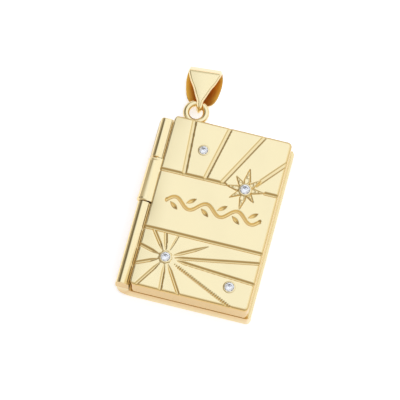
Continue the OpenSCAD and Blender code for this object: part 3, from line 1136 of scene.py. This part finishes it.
class LOCKET_OT_cover(bpy.types.Operator):
    """Makes the front cover with its engraving, and its hinge tube"""

    bl_idname = "locket.cover"
    bl_label = "Cover"

    def execute(self, context):
        colours = context.scene.locket_colours
        polished = polished_plating(colours)
        self.make_plate(context.scene.locket_sizes, polished, shaded_satin_plating(colours))
        self.make_tube(polished)
        return {"FINISHED"}

    def make_plate(self, sizes, polished, satin):
        """The face with its relief, its side walls and the hollow under it."""
        corner = sizes.cover_corner / MM
        rounded = sizes.face_round / MM
        face_z = sizes.face_height / MM
        half = (COVER_RIGHT, COVER_HEAD)
        rows_x = edge_rows(half[0], GRID_SPACING, rounded)
        rows_y = edge_rows(half[1], GRID_SPACING, rounded)
        bm = bmesh.new()
        bmesh.ops.create_grid(
            bm, x_segments=len(rows_x) - 1, y_segments=len(rows_y) - 1, size=1.0
        )
        flat = coordinates(bm)
        column = np.rint((flat[:, 0] + 1) / 2 * (len(rows_x) - 1)).astype(int)
        row = np.rint((flat[:, 1] + 1) / 2 * (len(rows_y) - 1)).astype(int)
        for vertex, x, y in zip(bm.verts, rows_x[column], rows_y[row]):
            vertex.co = (x, y, 0)
        self.refine(bm, sizes)
        flat = coordinates(bm)
        x, y = plan(flat[:, 0], flat[:, 1], *half, corner)
        height, painted_shade = face_relief(x, y, sizes)
        # The edge along the spine is sharper than the other three
        inner_x = np.maximum(x, corner - half[0])
        gap = rounded - np.clip(inside_edge(inner_x, y, *half, corner), 0, rounded)
        from_edge = inside_edge(x, y, *half, corner)
        gap_left = SPINE_EDGE_ROUND - np.clip(from_edge, 0, SPINE_EDGE_ROUND)
        fall = np.maximum(
            rounded - np.sqrt(rounded**2 - gap**2),
            SPINE_EDGE_ROUND - np.sqrt(SPINE_EDGE_ROUND**2 - gap_left**2),
        )
        # Painted shade along the face's rounded edges
        painted_shade = np.maximum(painted_shade, EDGE_PAINTED_SHADE * np.sqrt(gap / rounded))
        # A line fades a little where it runs out over the rounded edge
        height = np.where(gap > 0, height * (1 - 0.5 * ease(gap / rounded)), height) - fall
        # Each vertex keeps its painted shade
        layer = bm.verts.layers.float.new("painted_shade")
        for vertex, px, py, pz, depth in zip(bm.verts, x, y, face_z + height, painted_shade):
            vertex.co = (px, py, pz)
            vertex[layer] = depth
        self.make_walls(bm)
        give_hollow_shaded_satin(bm, 0, face_z - WALL)
        finish_piece(bm, "cover_plate", "cover", "front_cover", [polished, satin], even=False)

    def refine(self, bm, sizes):
        """Halves the grid's spacing where the face has relief."""
        places = coordinates(bm)
        height, _ = face_relief(places[:, 0], places[:, 1], sizes)
        bm.verts.index_update()
        edges = set()
        for face in bm.faces:
            levels = [height[v.index] for v in face.verts]
            if max(levels) - min(levels) > GRID_STEP:
                edges.update(face.edges)
        bmesh.ops.subdivide_edges(bm, edges=list(edges), cuts=1, use_grid_fill=True)

    def make_walls(self, bm):
        """Pulls the rim down, turns it in under the wall and up to the hollow's ceiling."""
        rim = [e for e in bm.edges if e.is_boundary]
        start = list({v for e in rim for v in e.verts})
        places = [v.co.copy() for v in start]
        # How far each step lies inside the outline, and its height
        steps = (
            (0.0, min(p.z for p in places) - 0.05),
            (0.0, COVER_LOW + 0.08),
            (0.0, COVER_LOW + 0.03),
            (0.01, COVER_LOW + 0.01),
            (0.03, COVER_LOW),
            (WALL - 0.05, COVER_LOW),
            (WALL, COVER_LOW + 0.05),
            (WALL, CEILING - 0.13),
            (WALL + 0.13, CEILING),
            (WALL + 0.2, CEILING),
        )
        painted_shade = bm.verts.layers.float["painted_shade"]
        index = {v: i for i, v in enumerate(start)}
        for inset, z in steps:
            made, rim = extruded_edges(bm, rim)
            index = {v: index[neighbour(v, index)] for v in made}
            for v, i in index.items():
                x, y, _ = places[i]
                v.co = (x * (1 - inset / COVER_RIGHT), y * (1 - inset / COVER_HEAD), z)
                # Painted shade on the cover's side walls, less on the opening side
                v[painted_shade] = painted_wall_shade(x, COVER_RIGHT - 0.02) if inset < 0.02 else 0.0
        bmesh.ops.edgeloop_fill(bm, edges=rim)

    def make_tube(self, polished):
        """The middle tube of the hinge, slightly wider at its foot, on a web to the cover."""
        bm = bmesh.new()
        foot, head = MIDDLE_TUBE
        wide, narrow = MIDDLE_RADII
        waist = wide - 0.035
        profile = [
            (PIN_BORE, foot),
            (wide - 0.22, foot),
            (wide - 0.12, foot + 0.03),
            (wide - 0.03, foot + 0.1),
            (wide, foot + 0.2),
            (wide, foot + 0.34),
            (waist, foot + 0.42),
            (narrow, head - 0.5),
            (narrow - 0.03, head - 0.4),
            (narrow + 0.04, head - 0.34),
            (narrow + 0.03, head - 0.24),
            (narrow - 0.04, head - 0.12),
            (narrow - 0.14, head - 0.03),
            (narrow - 0.2, head),
            (PIN_BORE, head),
        ]
        spun(bm, profile, (HINGE.x, 0, HINGE.z), (0, 1, 0), 48, closed=True)
        finish_piece(bm, "cover_tube", "cover", "front_cover", [polished], even=False)
        bm = bmesh.new()
        bmesh.ops.create_cube(bm, size=1.0)
        for v in bm.verts:
            # The web's top leaves the tube along its round, and slopes down to the cover
            radius = narrow if v.co.y > 0 else waist
            leaves = HINGE + Vector((math.sin(WEB_TILT), 0, math.cos(WEB_TILT))) * radius
            inner = v.co.x > 0
            upper = v.co.z > 0
            drop = (WEB_INNER - leaves.x) * math.tan(WEB_TILT) if inner else 0
            outer_x = leaves.x if upper else HINGE.x + 0.45
            v.co.x = WEB_INNER if inner else outer_x
            v.co.z = leaves.z - drop if upper else WEB_UNDERSIDE[inner]
            v.co.y = head - 0.05 if v.co.y > 0 else foot + 0.05
        finish_piece(bm, "cover_web", "cover", "front_cover", [polished])


class LOCKET_OT_pin(bpy.types.Operator):
    """Gives the hinge's pin its finish"""

    bl_idname = "locket.pin"
    bl_label = "Pin"

    def execute(self, context):
        pin = frame["nodes"]["hinge_pin"]
        pin.data.materials.clear()
        pin.data.materials.append(drawn_rod(context.scene.locket_colours))
        return {"FINISHED"}


class LOCKET_OT_bail(bpy.types.Operator):
    """Makes the bail, a strip folded into a loop through the ring"""

    bl_idname = "locket.bail"
    bl_label = "Bail"

    def execute(self, context):
        sizes = context.scene.locket_sizes
        way = self.closed_way(sizes.strip_steps)
        nexts = way[1:] + way[:1]
        deep = sizes.strip_thickness / MM / 2
        sections = [self.section(way[i - 1], at, nexts[i], deep) for i, at in enumerate(way)]
        bm = bmesh.new()
        verts = [bm.verts.new(p) for p in sections[0]]
        first = [bm.edges.new(pair) for pair in zip(verts, verts[1:] + verts[:1])]
        edges = first
        # The outline's first and last place bound the strip's flat inner side
        inner = {verts[0], verts[-1]}
        for section in sections[1:]:
            made, _ = extruded_edges(bm, edges)
            verts = [neighbour(v, made) for v in verts]
            for v, place in zip(verts, section):
                v.co = place
            edges = [bm.edges.get(pair) for pair in zip(verts, verts[1:] + verts[:1])]
            inner.update((verts[0], verts[-1]))
        bmesh.ops.bridge_loops(bm, edges=edges + first)
        # The strip's inner side gets the tumbled plating in a colour of painted shade
        for face in bm.faces:
            face.material_index = 1 if all(v in inner for v in face.verts) else 0
        turn = Matrix.Translation(EYE) @ Matrix.Rotation(BAIL_LEAN, 4, "Z")
        bmesh.ops.transform(bm, matrix=turn, verts=bm.verts)
        colours = context.scene.locket_colours
        materials = [polished_plating(colours), shaded_satin_plating(colours)]
        finish_piece(bm, "folded_bail", "bail", "bail", materials, even=False)
        return {"FINISHED"}

    def closed_way(self, steps):
        """The strip's line with smooth steps between its set places."""
        rows = np.array(STRIP)
        way = []
        for i in range(len(rows)):
            a, b, c, d = (rows[(i + k) % len(rows)] for k in (-1, 0, 1, 2))
            bend = 2 * a - 5 * b + 4 * c - d
            twist = 3 * b - a - 3 * c + d
            for t in np.arange(steps) / steps:
                way.append(0.5 * (2 * b + (c - a) * t + bend * t**2 + twist * t**3))
        return way

    def section(self, before, at, after, deep):
        """The strip's outline at one place: flat inside, bevelled along its outer edges."""
        run = np.array((after[0] - before[0], after[1] - before[1]))
        out = np.array((-run[1], run[0])) / math.hypot(*run)
        half = at[2]
        drop, width, growth, least = STRIP_BEVEL
        grown = growth * (1 - half / STRIP_WIDEST)
        ledge = deep - drop - grown
        flat = max(least, half - width - grown)
        # From the inner edge to the outer flat, with small steps that soften each edge
        right = [
            (half - 0.04, -deep),
            (half, 0.04 - deep),
            (half, ledge - 0.03),
            (half - 0.03, ledge + 0.01),
            (flat + 0.05, deep - 0.03),
            (flat + 0.01, deep - 0.005),
            (flat - 0.03, deep),
        ]
        outline = right + [(-a, o) for a, o in reversed(right)]
        return [(a, at[0] + out[0] * o, at[1] + out[1] * o) for a, o in outline]


class LOCKET_OT_stones(bpy.types.Operator):
    """Makes the four cut stones and the collars that hold them"""

    bl_idname = "locket.stones"
    bl_label = "Stones"

    def execute(self, context):
        colours = context.scene.locket_colours
        for name in STONES:
            self.make_stone(name, [cut_crystal(colours), ground_crystal_and_shade(colours)])
            self.make_collar(name, polished_plating(colours))
        return {"FINISHED"}

    def make_stone(self, name, materials):
        """A round brilliant: table, star and kite facets, girdle facets and a pointed pavilion."""
        middle, diameter = stone_place(name)
        radius = diameter / 2
        top = middle.z
        girdle = top - GIRDLE_DROP * diameter
        # Corners in each ring, its part of the radius, its height and its turn in steps
        rings = (
            (8, 0.56, top, 0.5),
            (8, 0.8, top - 0.075 * diameter, 0.0),
            (16, 1.0, girdle + 0.04 * diameter, 0.0),
            (16, 1.0, girdle, 0.0),
            (8, 0.35, girdle - 0.29 * diameter, 0.5),
            (1, 0.0, girdle - 0.42 * diameter, 0.0),
        )
        bm = bmesh.new()
        for count, part, z, offset in rings:
            for i in range(count):
                a = 2 * math.pi * (i + offset) / count
                x = middle.x + radius * part * math.cos(a)
                y = middle.y + radius * part * math.sin(a)
                bm.verts.new((x, y, z))
        bmesh.ops.convex_hull(bm, input=bm.verts[:])
        flat = math.radians(1)
        bmesh.ops.dissolve_limit(bm, angle_limit=flat, verts=bm.verts[:], edges=bm.edges[:])
        stone = finish_piece(bm, "cut_" + name, "cover", name, materials, False)
        # The outer facets get the grey edge: partly the ground girdle, partly painted shade
        for polygon in stone.data.polygons:
            polygon.use_smooth = False
            away = (polygon.center / MM - middle).to_2d().length
            polygon.material_index = 1 if away > GROUND_AND_SHADE_PART * radius else 0

    def make_collar(self, name, polished):
        """The thin rim of metal pushed over the stone's edge, with the seat under it."""
        middle, diameter = stone_place(name)
        radius = diameter / 2
        girdle = middle.z - GIRDLE_DROP * diameter
        profile = [
            (0.0, girdle - 0.52 * diameter),
            (radius * 0.5, girdle - 0.5 * diameter),
            (radius * 0.8, girdle - 0.16 * diameter),
            (radius + 0.02, girdle - 0.05),
            (radius + 0.02, girdle + 0.01),
            (radius - 0.03, girdle + 0.055),
            (radius - 0.01, girdle + 0.075),
            (radius + 0.05, girdle + 0.075),
            (radius + 0.12, girdle + 0.04),
            (radius + 0.16, girdle - 0.03),
            (radius + 0.16, girdle - 0.2),
        ]
        bm = bmesh.new()
        spun(bm, profile, (middle.x, middle.y, 0), (0, 0, 1), 48)
        finish_piece(bm, "collar_" + name, "cover", "front_cover", [polished], even=False)


class LOCKET_OT_stage(bpy.types.Operator):
    """Sets up the floor, the soft studio light and the camera"""

    bl_idname = "locket.stage"
    bl_label = "Stage"

    def execute(self, context):
        self.make_floor(context.scene.locket_colours)
        self.make_light(context.scene)
        self.make_camera(context.scene)
        context.scene.view_settings.view_transform = "Standard"
        return {"FINISHED"}

    def make_floor(self, colours):
        """A sheet of white paper, lit from below as well, so that shadows stay faint."""
        settings = {
            "Base Color": (*colours.floor, 1),
            "Roughness": 0.9,
            "Emission Color": (1, 1, 1, 1),
            "Emission Strength": FLOOR_GLOW,
        }
        material = new_material("white_paper_lit", settings)[0]
        bm = bmesh.new()
        bmesh.ops.create_grid(bm, x_segments=1, y_segments=1, size=2.0)
        mesh = bpy.data.meshes.new("floor")
        bm.to_mesh(mesh)
        bm.free()
        mesh.materials.append(material)
        floor = bpy.data.objects.new("floor", mesh)
        bpy.context.scene.collection.objects.link(floor)

    def make_light(self, scene):
        """A wide soft box overhead, brighter to the right and the back, over a darker room, with
        a dark flag on the left."""
        world = bpy.data.worlds.new("soft_studio")
        scene.world = world
        world.use_nodes = True
        tree = world.node_tree
        tree.nodes.clear()
        way = add_node(tree, "ShaderNodeTexCoord").outputs["Generated"]
        both = add_node(tree, "ShaderNodeMix", {"data_type": "RGBA", "blend_type": "MULTIPLY"})
        both.inputs["Factor"].default_value = 1.0
        tree.links.new(self.light_from(tree, way, BOX_WAY, BOX_STOPS, BOX_LOWEST), both.inputs[6])
        tree.links.new(self.light_from(tree, way, FLAG_WAY, FLAG_STOPS), both.inputs[7])
        sky = add_node(tree, "ShaderNodeBackground", links={"Color": both.outputs[2]})
        add_node(tree, "ShaderNodeOutputWorld", links={"Surface": sky.outputs["Background"]})

    def light_from(self, tree, way, middle, stops, lowest=0.0):
        """Light that changes with the angle from its middle, by stops from its lowest height."""
        height = add_node(tree, "ShaderNodeVectorMath", {"operation": "DOT_PRODUCT"}, {0: way})
        height.inputs[1].default_value = Vector(middle).normalized()
        place = add_node(
            tree, "ShaderNodeMapRange", {"From Min": lowest}, {"Value": height.outputs["Value"]}
        )
        ramp = add_node(tree, "ShaderNodeValToRGB", links={"Fac": place.outputs["Result"]})
        set_ramp(ramp, stops)
        return ramp.outputs["Color"]

    def make_camera(self, scene):
        """The photograph's viewpoint, aimed beside the origin with the picture's own upright."""
        level = math.cos(VIEW_HEIGHT)
        east = math.sin(VIEW_TURN) * level
        south = math.cos(VIEW_TURN) * level
        away = Vector((east, -south, math.sin(VIEW_HEIGHT)))
        right = Vector((math.cos(VIEW_TURN), math.sin(VIEW_TURN), 0))
        up = away.cross(right)
        eye = away * VIEW_DISTANCE
        aim = right * VIEW_AIM[0] * MM + up * VIEW_AIM[1] * MM
        ahead = (aim - eye).normalized()
        right = ahead.cross(up).normalized()
        up = right.cross(ahead)
        lens = bpy.data.cameras.new("camera")
        lens.lens = LENS
        lens.sensor_width = SENSOR
        lens.clip_start = 0.01
        camera = bpy.data.objects.new("camera", lens)
        scene.collection.objects.link(camera)
        turn = Matrix((right, up, -ahead)).transposed().to_4x4()
        camera.matrix_world = Matrix.Translation(eye) @ turn
        scene.camera = camera


class LOCKET_PT_panel(bpy.types.Panel):
    """Shows the locket's sizes and colours, with a button for each step that makes its pieces"""

    bl_label = "Book Locket"
    bl_idname = "LOCKET_PT_panel"
    bl_space_type = "VIEW_3D"
    bl_region_type = "UI"
    bl_category = "Locket"

    def draw(self, context):
        for group in (context.scene.locket_sizes, context.scene.locket_colours):
            for name in group.__annotations__:
                self.layout.prop(group, name)
        for operator in OPERATORS:
            self.layout.operator(operator.bl_idname)


OPERATORS = (
    LOCKET_OT_case,
    LOCKET_OT_cover,
    LOCKET_OT_pin,
    LOCKET_OT_bail,
    LOCKET_OT_stones,
    LOCKET_OT_stage,
)
CLASSES = (LocketSizes, LocketColours, *OPERATORS, LOCKET_PT_panel)


def register():
    for cls in CLASSES:
        bpy.utils.register_class(cls)
    bpy.types.Scene.locket_sizes = PointerProperty(type=LocketSizes)
    bpy.types.Scene.locket_colours = PointerProperty(type=LocketColours)


def unregister():
    del bpy.types.Scene.locket_colours
    del bpy.types.Scene.locket_sizes
    for cls in reversed(CLASSES):
        bpy.utils.unregister_class(cls)


def main():
    register()
    bpy.ops.locket.case()
    bpy.ops.locket.cover()
    bpy.ops.locket.pin()
    bpy.ops.locket.bail()
    bpy.ops.locket.stones()
    bpy.ops.locket.stage()


if __name__ == "__main__":
    main()
